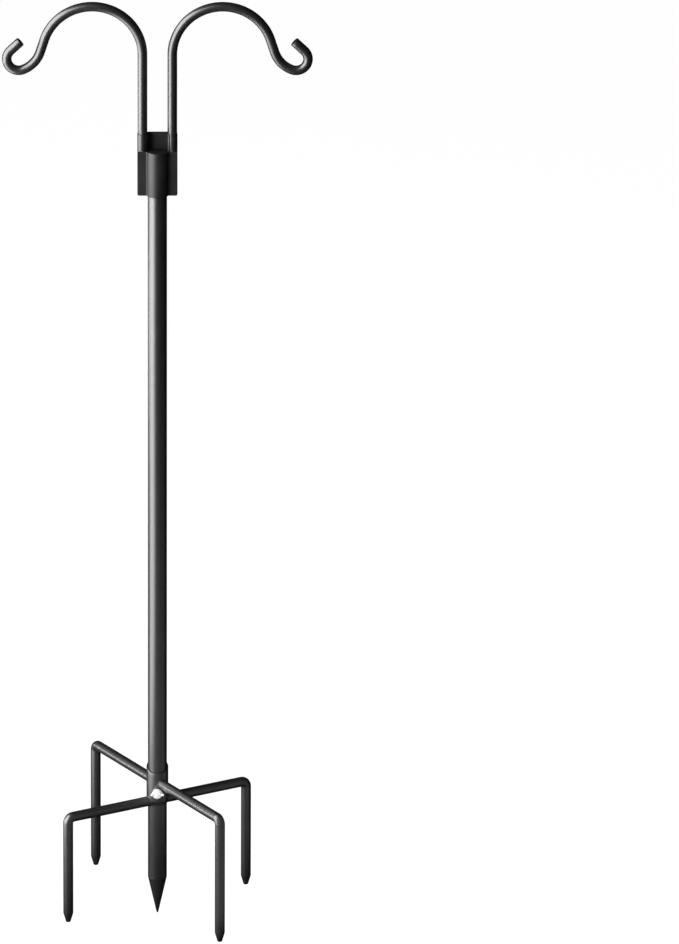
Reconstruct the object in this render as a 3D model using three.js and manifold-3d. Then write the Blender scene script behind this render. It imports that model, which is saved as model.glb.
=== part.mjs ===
// A double shepherd's-hook plant stand: two hooks plugged into a bracket that clamps to the top of a
// pole, whose foot plugs into a socketed ground spike with four side prongs.
// Millimetres, +Z up. The origin is on the pole's axis at the soil line. +X runs along the two hooks,
// -Y faces the front. The pole, spike, hooks and prongs are all measured from these values.
import * as THREE from "three";
import { mergeVertices } from "three/addons/utils/BufferGeometryUtils.js";
import Module from "manifold-3d";

const wasm = await Module();
wasm.setup();

// ---- fits -----------------------------------------------------------------------------------------
const SEAT_GAP = 0.3; // between faces that rest on, or are welded to, each other
const POLE_CLEARANCE = 0.3; // round the pole, in its socket and in the bracket
const SPIGOT_CLEARANCE = 0.2; // round a hook's spigot
const THREAD_CLEARANCE = 0.3; // round a screw's stud

// ---- pole -----------------------------------------------------------------------------------------
const POLE_R = 10;
const POLE_WALL = 1;
const POLE_TOP_Z = 724;
const PLUG_SKIRT = 9; // how far the top plug reaches into the pole
const PLUG_WALL = 1.4;
const PLUG_CAP = 1.6;
const PLUG_RIM = 0.4; // the cap's edge stays this far inside the pole's outside

// ---- ground spike and its socket --------------------------------------------------------------------
const SPIKE_DEPTH = 120; // the point below the soil line
const SPIKE_R = 10;
const SPIKE_WALL = 1.2;
const SPIKE_CONE = 41.4;
const SPIKE_TIP_R = 0.85;
const SPIKE_NOSE = 1; // height of the rounding at the very point
const SPIKE_SHANK = 12; // the point's stub inside the tube
const SOCKET_FLOOR_Z = 8.5; // the ledge that the pole stands on
const SOCKET_DEPTH = 36.7; // from the ledge to the middle of the mouth
const SOCKET_TAPER = 4; // height of the swage below the ledge
const SOCKET_MOUTH_SLOPE = 22.8; // degrees the mouth's edge falls towards the front

// ---- prongs -----------------------------------------------------------------------------------------
const PRONG_R = 5.3;
const PRONG_BEND_R = 6;
const PRONG_DEPTH = 109.3; // the points below the soil line
const PRONG_POINT = 10.8;
const PRONG_POINT_R = 2.2;
const PRONG_TURN = 30.3; // degrees from +X to the lower pair
const LOWER_PRONG_Z = 7.8;
const LOWER_PRONG_REACH = 108.6;
const UPPER_PRONG_Z = 27.6;
const UPPER_PRONG_REACH = 129.7;

// ---- clamp screws: one in the spike's socket, one behind the bracket -----------------------------------
const STUD_R = 2.5;
const SOCKET_SCREW_Z = 20;
const BOSS_R = 4.5;
const BOSS_HEIGHT = 2; // how far the boss stands out of the socket
const NUT_FLATS = 10;
const NUT_HEIGHT = 5;
const HUB_BASE_R = 4.7;
const HUB_R = 5.5;
const HUB_FLARE = 2.2; // distance from the hub's base to its full radius
const HUB_HEIGHT = 5.6;
const HUB_CROWN_R = 3.4;
const WING_SPAN = 14.4;
const WING_REACH = 7.6; // how far the wings' ends stand off the hub's base
const WING_ROOT = 3.6; // width of a wing where it leaves the hub
const WING_THICKNESS = 2;

// ---- bracket ----------------------------------------------------------------------------------------
const POLE_GRIP = 46; // how far the bracket reaches down from the pole's top
const BACK_PLATE_HEIGHT = 65.5;
const BACK_PLATE_T = 2;
const FRONT_PLATE_HEIGHT = 48;
const FRONT_PLATE_T = 1;
const PLATE_CORNER_R = 2;
const CLAMP_SCREW_RISE = 17; // the rear screw above the plates' lower edge
const HOOK_SOCKET_R = 5.4;
const HOOK_SOCKET_WALL = 1.1;
const SOCKET_SLIT = 1.4;
const SOCKET_SLIT_TURN = 33; // degrees from the front towards the pole, on the right tube

// ---- hooks ------------------------------------------------------------------------------------------
const HOOK_SPACING = 30.9; // between the two shanks' axes
const HOOK_R = 5;
const SPIGOT_LENGTH = 58;
const SPIGOT_CHAMFER = 1;
const SHANK_LENGTH = 85.6; // straight run from the shoulder to the arch
const ARCH_R = 52;
const ARCH_SWEEP = 162; // degrees, up over the top and down again
const DROP = 14; // straight run between the arch and the swan neck
const NECK_R = 30.5;
const NECK_SWEEP = 50;
const CURL_R = 12.35;
const CURL_STEP = 8.8; // degrees; the third step of the curl lies level, where a hanger's ring sits
const CURL_STEPS = 18;
const CURL_END = 14.5; // straight end of the curl

// ---- facets -----------------------------------------------------------------------------------------
const TUBE_SIDES = 36;
const ROD_SIDES = 16;
const SCREW_SIDES = 24;
const ARCH_STEPS = 24;
const NECK_STEPS = 7;
const ELBOW_STEPS = 6;

// ---- sizes that follow from the ones above ------------------------------------------------------------
const SOCKET_BORE_R = POLE_R + POLE_CLEARANCE;
const SOCKET_R = SOCKET_BORE_R + SPIKE_WALL;
const SOCKET_MOUTH_Z = SOCKET_FLOOR_Z + SOCKET_DEPTH; // on the axis
const SOCKET_BACK_Z = SOCKET_MOUTH_Z + SOCKET_R * Math.tan((SOCKET_MOUTH_SLOPE * Math.PI) / 180);
const SPIKE_BOTTOM_Z = SPIKE_CONE - SPIKE_DEPTH;
const STUD_HOLE_R = STUD_R + THREAD_CLEARANCE;
const BULGE_R = POLE_R + POLE_CLEARANCE; // inside of the front plate's half-round
const BACK_PLATE_Y = POLE_R + POLE_CLEARANCE; // front face of the back plate
const HOOK_X = HOOK_SPACING / 2;
const HOOK_Y = BACK_PLATE_Y - SEAT_GAP - HOOK_SOCKET_R;
const WING_BACK_Y = HOOK_Y - HOOK_SOCKET_R - SEAT_GAP; // back face of the front plate's flat wings
const PLATE_HALF_WIDTH = HOOK_X + HOOK_SOCKET_R;
const BRACKET_Z = POLE_TOP_Z - POLE_GRIP; // lower edge of both plates
const BACK_PLATE_TOP_Z = BRACKET_Z + BACK_PLATE_HEIGHT;
const FRONT_PLATE_TOP_Z = BRACKET_Z + FRONT_PLATE_HEIGHT;
const CLAMP_SCREW_Z = BRACKET_Z + CLAMP_SCREW_RISE;
const SHOULDER_Z = BACK_PLATE_TOP_Z + SEAT_GAP; // where a hook's rod rests on its socket
const SPIGOT_R = HOOK_SOCKET_R - HOOK_SOCKET_WALL - SPIGOT_CLEARANCE;

const radians = THREE.MathUtils.degToRad;

// ---- materials --------------------------------------------------------------------------------------
const blackCoat = new THREE.MeshStandardMaterial({ color: 0x17181a, roughness: 0.36, metalness: 0.3 });
const zinc = new THREE.MeshStandardMaterial({ color: 0xd9dbde, roughness: 0.25, metalness: 1 });
const blackPlastic = new THREE.MeshStandardMaterial({ color: 0x101011, roughness: 0.6, metalness: 0 });

// ---- solids -----------------------------------------------------------------------------------------
// A closed geometry as a solid that can be joined and cut.
function solid(geometry) {
  const bare = new THREE.BufferGeometry();
  bare.setAttribute("position", geometry.getAttribute("position"));
  bare.setIndex(geometry.index);
  const merged = mergeVertices(bare, 1e-4);
  return new wasm.Manifold(
    new wasm.Mesh({
      numProp: 3,
      vertProperties: merged.attributes.position.array,
      triVerts: new Uint32Array(merged.index.array),
    }),
  );
}

// A solid as a mesh under its own name.
function mesh(name, body, material) {
  const { vertProperties, triVerts, numProp } = body.getMesh();
  const geometry = new THREE.BufferGeometry();
  const points = new THREE.InterleavedBuffer(vertProperties, numProp);
  geometry.setAttribute("position", new THREE.InterleavedBufferAttribute(points, 3, 0));
  geometry.setIndex(new THREE.BufferAttribute(triVerts, 1));
  const flat = geometry.toNonIndexed();
  flat.computeVertexNormals();
  const result = new THREE.Mesh(flat, material);
  result.name = name;
  return result;
}

// A solid of revolution about Z from [radius, height] pairs that run anticlockwise.
function turned(profile, sides) {
  const points = profile.map(([r, z]) => new THREE.Vector2(r, z));
  const geometry = new THREE.LatheGeometry(points, sides);
  geometry.rotateX(Math.PI / 2);
  return solid(geometry);
}

// The same about an axis that points along -Y (the front) or +Y (the back), at the given height.
function turnedForward(profile, sides, z) {
  return turned(profile, sides).rotate([90, 0, 0]).translate([0, 0, z]);
}

function turnedBackward(profile, sides, z) {
  return turned(profile, sides).rotate([-90, 0, 0]).translate([0, 0, z]);
}

function disc(radius, from, to) {
  return [[0, from], [radius, from], [radius, to], [0, to]];
}

function tubeProfile(inner, outer, from, to) {
  return [[inner, from], [outer, from], [outer, to], [inner, to], [inner, from]];
}

// A prism along +Z over an outline in X and Y.
function prism(shape, from, to, curveSegments = 6) {
  const geometry = new THREE.ExtrudeGeometry(shape, {
    depth: to - from,
    bevelEnabled: false,
    curveSegments,
  });
  geometry.translate(0, 0, from);
  return solid(geometry);
}

// A prism along Y over an outline in X and Z, from yFrom back to yTo.
function upright(shape, yFrom, yTo) {
  return prism(shape, 0, yTo - yFrom).rotate([90, 0, 0]).translate([0, yTo, 0]);
}

function roundedRectangle(x0, y0, x1, y1, r) {
  const shape = new THREE.Shape();
  shape.moveTo(x0 + r, y0);
  shape.lineTo(x1 - r, y0);
  shape.absarc(x1 - r, y0 + r, r, -Math.PI / 2, 0);
  shape.lineTo(x1, y1 - r);
  shape.absarc(x1 - r, y1 - r, r, 0, Math.PI / 2);
  shape.lineTo(x0 + r, y1);
  shape.absarc(x0 + r, y1 - r, r, Math.PI / 2, Math.PI);
  shape.lineTo(x0, y0 + r);
  shape.absarc(x0 + r, y0 + r, r, Math.PI, 1.5 * Math.PI);
  return shape;
}

// ---- bent rods --------------------------------------------------------------------------------------
// A flat path of straights and bends in X and Z. A straight takes one step and a bend as many as it asks
// for, so that a long rod has its facets where it curves.
class RodPath extends THREE.Curve {
  constructor(x, z, headingDegrees) {
    super();
    this.stations = [];
    this.x = x;
    this.z = z;
    this.heading = radians(headingDegrees);
    this.mark();
  }

  mark() {
    this.stations.push({ x: this.x, z: this.z, heading: this.heading });
  }

  straight(length) {
    this.x += length * Math.cos(this.heading);
    this.z += length * Math.sin(this.heading);
    this.mark();
    return this;
  }

  // A bend to the left for a positive sweep, to the right for a negative one.
  bend(radius, sweepDegrees, steps) {
    const side = Math.sign(sweepDegrees) * radius;
    const centreX = this.x - side * Math.sin(this.heading);
    const centreZ = this.z + side * Math.cos(this.heading);
    for (let i = 0; i < steps; i++) {
      this.heading += radians(sweepDegrees) / steps;
      this.x = centreX + side * Math.sin(this.heading);
      this.z = centreZ - side * Math.cos(this.heading);
      this.mark();
    }
    return this;
  }

  get steps() {
    return this.stations.length - 1;
  }

  station(t) {
    return this.stations[Math.round(t * this.steps)];
  }

  getPoint(t, target = new THREE.Vector3()) {
    const { x, z } = this.station(t);
    return target.set(x, 0, z);
  }

  getPointAt(u, target) {
    return this.getPoint(u, target);
  }

  getTangent(t, target = new THREE.Vector3()) {
    const { heading } = this.station(t);
    return target.set(Math.cos(heading), 0, Math.sin(heading));
  }

  getTangentAt(u, target) {
    return this.getTangent(u, target);
  }

  getSpacedPoints(divisions) {
    return this.getPoints(divisions);
  }
}

// A regular outline with a flat towards each axis. Its corners stand on the radius.
function rodSection(radius) {
  const points = [];
  for (let i = 0; i < ROD_SIDES; i++) {
    const angle = ((i + 0.5) / ROD_SIDES) * 2 * Math.PI;
    points.push(new THREE.Vector2(radius * Math.cos(angle), radius * Math.sin(angle)));
  }
  return new THREE.Shape(points);
}

function rodGeometry(path, radius) {
  return new THREE.ExtrudeGeometry(rodSection(radius), { extrudePath: path, steps: path.steps });
}

// ---- ground spike -----------------------------------------------------------------------------------
// The spike's outside from the tube's lower end to the back of the socket's mouth, grown by a gap.
function spikeOutside(gap) {
  return [
    [SPIKE_R + gap, SPIKE_BOTTOM_Z],
    [SPIKE_R + gap, SOCKET_FLOOR_Z - SOCKET_TAPER],
    [SOCKET_R + gap, SOCKET_FLOOR_Z],
    [SOCKET_R + gap, SOCKET_BACK_Z],
  ];
}

// What is welded to the spike is cut back to this.
function spikeCutter() {
  const outside = spikeOutside(SEAT_GAP);
  return turned([[0, SPIKE_BOTTOM_Z], ...outside, [0, SOCKET_BACK_Z]], TUBE_SIDES);
}

function spikeTube() {
  const bore = SPIKE_R - SPIKE_WALL;
  const profile = [
    [bore, SPIKE_BOTTOM_Z + SEAT_GAP],
    [SPIKE_R, SPIKE_BOTTOM_Z + SEAT_GAP],
    ...spikeOutside(0).slice(1),
    [SOCKET_BORE_R, SOCKET_BACK_Z],
    [SOCKET_BORE_R, SOCKET_FLOOR_Z],
    [bore, SOCKET_FLOOR_Z],
    [bore, SPIKE_BOTTOM_Z + SEAT_GAP],
  ];
  const hole = turnedForward(disc(STUD_HOLE_R, SPIKE_R / 2, SOCKET_R + 1), SCREW_SIDES, SOCKET_SCREW_Z);
  const offcut = turned(disc(2 * SOCKET_R, 0, SOCKET_DEPTH), TUBE_SIDES)
    .rotate([SOCKET_MOUTH_SLOPE, 0, 0])
    .translate([0, 0, SOCKET_MOUTH_Z]);
  return turned(profile, TUBE_SIDES).subtract(hole).subtract(offcut);
}

function spikePoint() {
  const shankR = SPIKE_R - SPIKE_WALL - SEAT_GAP;
  const profile = [
    [0, -SPIKE_DEPTH],
    [SPIKE_TIP_R * 0.6, -SPIKE_DEPTH],
    [SPIKE_TIP_R, SPIKE_NOSE - SPIKE_DEPTH],
    [SPIKE_R, SPIKE_BOTTOM_Z],
    [shankR, SPIKE_BOTTOM_Z],
    [shankR, SPIKE_BOTTOM_Z + SPIKE_SHANK],
    [0, SPIKE_BOTTOM_Z + SPIKE_SHANK],
  ];
  return turned(profile, TUBE_SIDES);
}

// A rod that leaves the socket level, turns down and ends in a blunt point.
function prong(z, reach, turn) {
  const path = new RodPath(0, z, 0)
    .straight(reach - PRONG_BEND_R)
    .bend(PRONG_BEND_R, -90, ELBOW_STEPS)
    .straight(z - PRONG_BEND_R + PRONG_DEPTH - PRONG_POINT)
    .straight(PRONG_POINT);
  const geometry = rodGeometry(path, PRONG_R);
  const points = geometry.getAttribute("position");
  const pointTop = PRONG_POINT - PRONG_DEPTH;
  for (let i = 0; i < points.count; i++) {
    if (points.getZ(i) < pointTop - PRONG_POINT / 2) {
      const squeeze = PRONG_POINT_R / PRONG_R;
      points.setX(i, reach + (points.getX(i) - reach) * squeeze);
      points.setY(i, points.getY(i) * squeeze);
    }
  }
  return solid(geometry).subtract(spikeCutter()).rotate([0, 0, turn]);
}

function socketBoss() {
  const top = SOCKET_R + SEAT_GAP + BOSS_HEIGHT;
  const block = turnedForward(disc(BOSS_R, POLE_R, top), SCREW_SIDES, SOCKET_SCREW_Z);
  const hole = turnedForward(disc(STUD_HOLE_R, 0, top + 1), SCREW_SIDES, SOCKET_SCREW_Z);
  return block.subtract(spikeCutter()).subtract(hole);
}

// ---- wing screw ---------------------------------------------------------------------------------------
// A stud with a cast head: a domed hub and two wings that flare away from it. The stud's end is at
// `tip` from the pole's axis and the hub's base at `base`, both along the screw's own +Z.
function wingScrew(tip, base) {
  const top = base + HUB_HEIGHT;
  const head = turned(
    [
      [0, tip],
      [STUD_R, tip],
      [STUD_R, base],
      [HUB_BASE_R, base],
      [HUB_R, base + HUB_FLARE],
      [HUB_R * 0.94, top - HUB_HEIGHT * 0.3],
      [HUB_CROWN_R, top - HUB_HEIGHT * 0.07],
      [0, top],
    ],
    SCREW_SIDES,
  );
  const half = WING_SPAN / 2;
  const end = base + WING_REACH;
  const wings = new THREE.Shape();
  wings.moveTo(-HUB_BASE_R * 0.8, base + 0.6);
  wings.lineTo(HUB_BASE_R * 0.8, base + 0.6);
  wings.quadraticCurveTo(half, base + WING_ROOT * 0.7, half, end - 1.2);
  wings.quadraticCurveTo(half - 0.4, end, half - 1.6, end - 0.4);
  wings.quadraticCurveTo(HUB_BASE_R * 0.9, top - 0.6, HUB_CROWN_R * 0.6, top - 1);
  wings.lineTo(-HUB_CROWN_R * 0.6, top - 1);
  wings.quadraticCurveTo(-HUB_BASE_R * 0.9, top - 0.6, -half + 1.6, end - 0.4);
  wings.quadraticCurveTo(-half + 0.4, end, -half, end - 1.2);
  wings.quadraticCurveTo(-half, base + WING_ROOT * 0.7, -HUB_BASE_R * 0.8, base + 0.6);
  const plate = upright(wings, -WING_THICKNESS / 2, WING_THICKNESS / 2);
  return head.add(plate);
}

// ---- pole -------------------------------------------------------------------------------------------
function poleTube() {
  const foot = SOCKET_FLOOR_Z + SEAT_GAP;
  return turned(tubeProfile(POLE_R - POLE_WALL, POLE_R, foot, POLE_TOP_Z), TUBE_SIDES);
}

function poleTopPlug() {
  const skirtR = POLE_R - POLE_WALL - SEAT_GAP;
  const seat = POLE_TOP_Z + SEAT_GAP;
  return turned(
    [
      [0, seat - PLUG_WALL],
      [skirtR - PLUG_WALL, seat - PLUG_WALL],
      [skirtR - PLUG_WALL, seat - PLUG_SKIRT],
      [skirtR, seat - PLUG_SKIRT],
      [skirtR, seat],
      [POLE_R - PLUG_RIM, seat],
      [POLE_R - PLUG_RIM, seat + PLUG_CAP * 0.6],
      [POLE_R - PLUG_RIM - 0.8, seat + PLUG_CAP],
      [0, seat + PLUG_CAP],
    ],
    TUBE_SIDES,
  );
}

// ---- bracket ----------------------------------------------------------------------------------------
function backPlate() {
  const outline = roundedRectangle(
    -PLATE_HALF_WIDTH,
    BRACKET_Z,
    PLATE_HALF_WIDTH,
    BACK_PLATE_TOP_Z,
    PLATE_CORNER_R,
  );
  const plate = upright(outline, BACK_PLATE_Y, BACK_PLATE_Y + BACK_PLATE_T);
  const bore = disc(STUD_HOLE_R, BACK_PLATE_Y - 1, BACK_PLATE_Y + BACK_PLATE_T + 1);
  return plate.subtract(turnedBackward(bore, SCREW_SIDES, CLAMP_SCREW_Z));
}

// Flat wings with a half-round bulge that wraps the pole, from one bent sheet.
function frontPlate() {
  const wingFrontY = WING_BACK_Y - FRONT_PLATE_T;
  const outerR = BULGE_R + FRONT_PLATE_T;
  const outerStart = Math.asin(wingFrontY / outerR);
  const innerStart = Math.asin(WING_BACK_Y / BULGE_R);
  const edge = FRONT_PLATE_T * 0.45; // rounding of the wings' outer edges
  const sheet = new THREE.Shape();
  sheet.moveTo(-PLATE_HALF_WIDTH, WING_BACK_Y);
  sheet.lineTo(-PLATE_HALF_WIDTH, wingFrontY + edge);
  sheet.lineTo(-PLATE_HALF_WIDTH + edge, wingFrontY);
  sheet.lineTo(-outerR * Math.cos(outerStart), wingFrontY);
  sheet.absarc(0, 0, outerR, Math.PI - outerStart, 2 * Math.PI + outerStart);
  sheet.lineTo(PLATE_HALF_WIDTH - edge, wingFrontY);
  sheet.lineTo(PLATE_HALF_WIDTH, wingFrontY + edge);
  sheet.lineTo(PLATE_HALF_WIDTH, WING_BACK_Y);
  sheet.lineTo(BULGE_R * Math.cos(innerStart), WING_BACK_Y);
  sheet.absarc(0, 0, BULGE_R, 2 * Math.PI + innerStart, Math.PI - innerStart, true);
  const blank = prism(sheet, BRACKET_Z, FRONT_PLATE_TOP_Z, 16);
  const above = FRONT_PLATE_TOP_Z + 2 * PLATE_CORNER_R; // the upper corners stay square
  const trim = roundedRectangle(-PLATE_HALF_WIDTH, BRACKET_Z, PLATE_HALF_WIDTH, above, PLATE_CORNER_R);
  return blank.intersect(upright(trim, -outerR - 1, 1));
}

// A split tube between the two plates. The right one's slit faces forwards, and the left one is the
// same piece turned half round, with its slit at the back plate.
function hookSocket(side) {
  const inner = HOOK_SOCKET_R - HOOK_SOCKET_WALL;
  const centre = -side * (Math.PI / 2) - radians(SOCKET_SLIT_TURN);
  const outerHalf = SOCKET_SLIT / 2 / HOOK_SOCKET_R;
  const innerHalf = SOCKET_SLIT / 2 / inner;
  const ring = new THREE.Shape();
  ring.absarc(0, 0, HOOK_SOCKET_R, centre + outerHalf, centre - outerHalf + 2 * Math.PI);
  ring.absarc(0, 0, inner, centre - innerHalf + 2 * Math.PI, centre + innerHalf, true);
  return prism(ring, BRACKET_Z, BACK_PLATE_TOP_Z, 14).translate([side * HOOK_X, HOOK_Y, 0]);
}

function clampNut() {
  const from = BACK_PLATE_Y + BACK_PLATE_T + SEAT_GAP;
  const cornerR = NUT_FLATS / Math.sqrt(3);
  const nut = turnedBackward(disc(cornerR, from, from + NUT_HEIGHT), 6, CLAMP_SCREW_Z);
  const bore = disc(STUD_HOLE_R, from - 1, from + NUT_HEIGHT + 1);
  return nut.subtract(turnedBackward(bore, SCREW_SIDES, CLAMP_SCREW_Z));
}

// ---- hook -------------------------------------------------------------------------------------------
// A hook that arches out to +X in the plane of its shank, then mirrored for the other side.
function hook(side) {
  const path = new RodPath(0, SHOULDER_Z, 90)
    .straight(SHANK_LENGTH)
    .bend(ARCH_R, -ARCH_SWEEP, ARCH_STEPS)
    .straight(DROP)
    .bend(NECK_R, NECK_SWEEP, NECK_STEPS)
    .bend(CURL_R, CURL_STEP * CURL_STEPS, CURL_STEPS)
    .straight(CURL_END);
  const foot = SHOULDER_Z - SPIGOT_LENGTH;
  const spigot = turned(
    [
      [0, foot],
      [SPIGOT_R - SPIGOT_CHAMFER, foot],
      [SPIGOT_R, foot + SPIGOT_CHAMFER],
      [SPIGOT_R, SHOULDER_Z + HOOK_R],
      [0, SHOULDER_Z + HOOK_R],
    ],
    ROD_SIDES,
  );
  const rod = solid(rodGeometry(path, HOOK_R)).add(spigot);
  const turnedOut = side > 0 ? rod : rod.mirror([1, 0, 0]);
  return turnedOut.translate([side * HOOK_X, HOOK_Y, 0]);
}

// ---- assembly ---------------------------------------------------------------------------------------
const stand = new THREE.Group();

const base = new THREE.Group();
base.add(mesh("spike_tube", spikeTube(), blackCoat));
base.add(mesh("spike_point", spikePoint(), blackCoat));
const lowerProng = (turn) => prong(LOWER_PRONG_Z, LOWER_PRONG_REACH, PRONG_TURN + turn);
const upperProng = (turn) => prong(UPPER_PRONG_Z, UPPER_PRONG_REACH, PRONG_TURN + turn);
base.add(mesh("prong_front_left", lowerProng(180), blackCoat));
base.add(mesh("prong_back_right", lowerProng(0), blackCoat));
base.add(mesh("prong_front_right", upperProng(-90), blackCoat));
base.add(mesh("prong_back_left", upperProng(90), blackCoat));
base.add(mesh("socket_boss", socketBoss(), blackCoat));
const socketScrewBase = SOCKET_R + SEAT_GAP + BOSS_HEIGHT + SEAT_GAP;
const socketScrew = mesh("socket_wing_screw", wingScrew(POLE_R + SEAT_GAP, socketScrewBase), zinc);
socketScrew.rotation.x = Math.PI / 2;
socketScrew.position.z = SOCKET_SCREW_Z;
base.add(socketScrew);
stand.add(base);

const pole = new THREE.Group();
pole.add(mesh("pole_tube", poleTube(), blackCoat));
pole.add(mesh("pole_top_plug", poleTopPlug(), blackPlastic));
stand.add(pole);

const bracket = new THREE.Group();
bracket.add(mesh("bracket_back_plate", backPlate(), blackCoat));
bracket.add(mesh("bracket_front_plate", frontPlate(), blackCoat));
bracket.add(mesh("hook_socket_left", hookSocket(-1), blackCoat));
bracket.add(mesh("hook_socket_right", hookSocket(1), blackCoat));
bracket.add(mesh("clamp_nut", clampNut(), blackCoat));
const clampScrewBase = BACK_PLATE_Y + BACK_PLATE_T + SEAT_GAP + NUT_HEIGHT + SEAT_GAP;
const clampScrew = mesh("clamp_wing_screw", wingScrew(POLE_R + SEAT_GAP, clampScrewBase), zinc);
clampScrew.rotation.x = -Math.PI / 2;
clampScrew.position.z = CLAMP_SCREW_Z;
bracket.add(clampScrew);
stand.add(bracket);

stand.add(mesh("hook_left", hook(-1), blackCoat));
stand.add(mesh("hook_right", hook(1), blackCoat));

export default stand;
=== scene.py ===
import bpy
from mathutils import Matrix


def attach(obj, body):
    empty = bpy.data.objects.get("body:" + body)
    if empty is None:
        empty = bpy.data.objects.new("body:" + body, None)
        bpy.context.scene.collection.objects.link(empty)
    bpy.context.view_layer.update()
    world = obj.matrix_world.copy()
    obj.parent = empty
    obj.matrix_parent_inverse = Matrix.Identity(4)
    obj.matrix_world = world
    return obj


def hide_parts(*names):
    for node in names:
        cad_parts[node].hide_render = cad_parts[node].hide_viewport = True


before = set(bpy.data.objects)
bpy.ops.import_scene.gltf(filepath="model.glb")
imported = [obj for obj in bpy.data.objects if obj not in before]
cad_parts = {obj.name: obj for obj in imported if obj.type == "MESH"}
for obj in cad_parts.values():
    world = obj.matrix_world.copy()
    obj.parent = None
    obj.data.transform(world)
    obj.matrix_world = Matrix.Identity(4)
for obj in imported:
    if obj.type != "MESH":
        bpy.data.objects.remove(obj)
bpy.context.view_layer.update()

import math

import bmesh
import bpy
from mathutils import Quaternion, Vector

# A hanging plant stand: a pole with two shepherd's hooks on top and a ground spike with four prongs below.
# Its pieces are made in millimetres, where the CAD model has them, and are scaled to metres on their way
# into a mesh. A corner is (across, along, radius of its rounding). The studio is in metres.
MM = 0.001
FRONT, BACK = -1, 1
LEFT, RIGHT = -1, 1

# ---- pole, spike and socket -----------------------------------------------------------------------------
POLE_R, POLE_WALL, POLE_TOP_Z = 10.0, 1.0, 724.0
SPIKE_R, SPIKE_WALL = 10.0, 1.2
SPIKE_TIP_Z, SPIKE_BOTTOM_Z = -120.0, -78.6
SPIKE_TIP_R, SPIKE_SHANK, SPIKE_SEAM = 0.85, 12.0, 0.05
SOCKET_BORE_R = 10.3
SOCKET_R = SOCKET_BORE_R + SPIKE_WALL
SOCKET_FLOOR_Z, SOCKET_TAPER, SOCKET_MOUTH_Z = 8.5, 4.0, 45.2
SOCKET_MOUTH_SLOPE = math.tan(math.radians(22.8))
SLOPE_FROM_Z, SLOPE_OVER = 24.0, 14.0
SEAT_GAP = 0.3
CAP_RIM_R, CAP_SKIRT, CAP_WALL, CAP_HEIGHT, CAP_DIMPLE = 9.6, 9.0, 1.4, 1.6, 0.35

# ---- prongs ---------------------------------------------------------------------------------------------
PRONG_R, PRONG_BEND_R, PRONG_ROOT = 5.3, 6.0, 30.0
PRONG_TIP_Z, PRONG_POINT, PRONG_POINT_R = -109.3, 10.8, 2.2
PRONG_TURN = 30.3
LOWER_PRONG_Z, LOWER_PRONG_REACH = 7.8, 108.6
UPPER_PRONG_Z, UPPER_PRONG_REACH = 27.6, 129.7

# ---- screws ---------------------------------------------------------------------------------------------
STUD_R, STUD_CHAMFER, THREAD_PITCH, THREAD_DEPTH, THREAD_SHARPNESS = 2.5, 0.5, 0.8, 0.42, 1.3
STUD_HOLE_R = STUD_R + 0.3
SOCKET_SCREW_Z, BOSS_R, BOSS_FOOT_Y, BOSS_Y = 20.0, 4.5, 10.45, 13.8
SOCKET_SCREW_BASE, CLAMP_SCREW_BASE, SCREW_TIP = 14.1, 17.9, 10.3
CLAMP_SCREW_Z, NUT_FLATS, NUT_FROM, NUT_TO = 695.0, 10.0, 12.3, 17.6
HUB_BASE_R, HUB_R, HUB_FLARE, HUB_HEIGHT, HUB_CROWN_R = 4.7, 5.5, 2.2, 5.6, 3.4
WING_SPAN, WING_REACH, WING_ROOT, WING_THICKNESS, WING_EDGE_R = 14.4, 7.6, 3.6, 2.0, 0.7
CAST_GRAIN, CAST_SMOOTHING = 0.22, 8

# ---- bracket --------------------------------------------------------------------------------------------
BRACKET_Z, BACK_TOP_Z, FRONT_TOP_Z = 678.0, 743.5, 726.0
BACK_Y, BACK_T, BACK_EDGE_R, CORNER_R = 10.3, 2.0, 0.4, 2.0
WING_BACK_Y, SHEET_T, SHEET_BEND_R, BULGE_R = -1.1, 1.0, 1.0, 10.3
SHEET_SIDE_EDGE_R, SHEET_TOP_EDGE_R = 0.35, 0.3
HALF_WIDTH, HOOK_X, HOOK_Y = 20.85, 15.45, 4.6
HOOK_SOCKET_R, HOOK_SOCKET_WALL, HOOK_SOCKET_EDGE_R = 5.4, 1.1, 0.28
SLIT, SLIT_TURN, SLIT_EDGE_R = 1.4, 33.0, 0.32
SEAM_LENGTH, SEAM_TURN, LOWER_SEAM_RISE, UPPER_SEAM_DROP = 16.0, 27.0, 4.0, 20.0
TACK_TURN = 26.0

# ---- weld beads -----------------------------------------------------------------------------------------
PRONG_WELD_R, PRONG_WELD_LIFT = 0.52, 0.05
BOSS_WELD_R, BOSS_WELD_LIFT = 0.75, 0.15
NUT_WELD_R, NUT_WELD_LIFT = 0.85, 0.15
TACK_WELD_R, TACK_WELD_END_R, TACK_WELD_LIFT = 1.2, 0.2, 0.25
SEAM_WELD_R, SEAM_WELD_END_R, SEAM_WELD_LIFT = 0.8, 0.15, 0.1

# ---- hooks ----------------------------------------------------------------------------------------------
HOOK_R, SPIGOT_R, SHOULDER_Z, SPIGOT_LENGTH = 5.0, 4.1, 743.8, 58.0
SHANK, ARCH_R, ARCH_SWEEP, DROP = 85.6, 52.0, 162.0, 14.0
NECK_R, NECK_SWEEP = 30.5, 50.0
CURL_R, CURL_SWEEP, CURL_END = 12.35, 158.4, 14.5

# ---- fineness of the meshes -----------------------------------------------------------------------------
TUBE_SIDES, ROD_SIDES, SCREW_SIDES, NUT_SIDES, THREAD_SIDES, DRILL_SIDES = 96, 48, 64, 72, 40, 32
EDGE_STEPS, RINGS_A_PITCH, SMOOTH_BELOW = 4, 10, 32.0
BULGE_STEPS, SHEET_STEPS, FLAT_STEPS, SHEET_EDGE_STEPS, SLIT_TUBE_STEPS = 34, 8, 7, 4, 60
SAME_POINT, NO_LENGTH = 2e-6, 1e-6  # in metres

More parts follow.
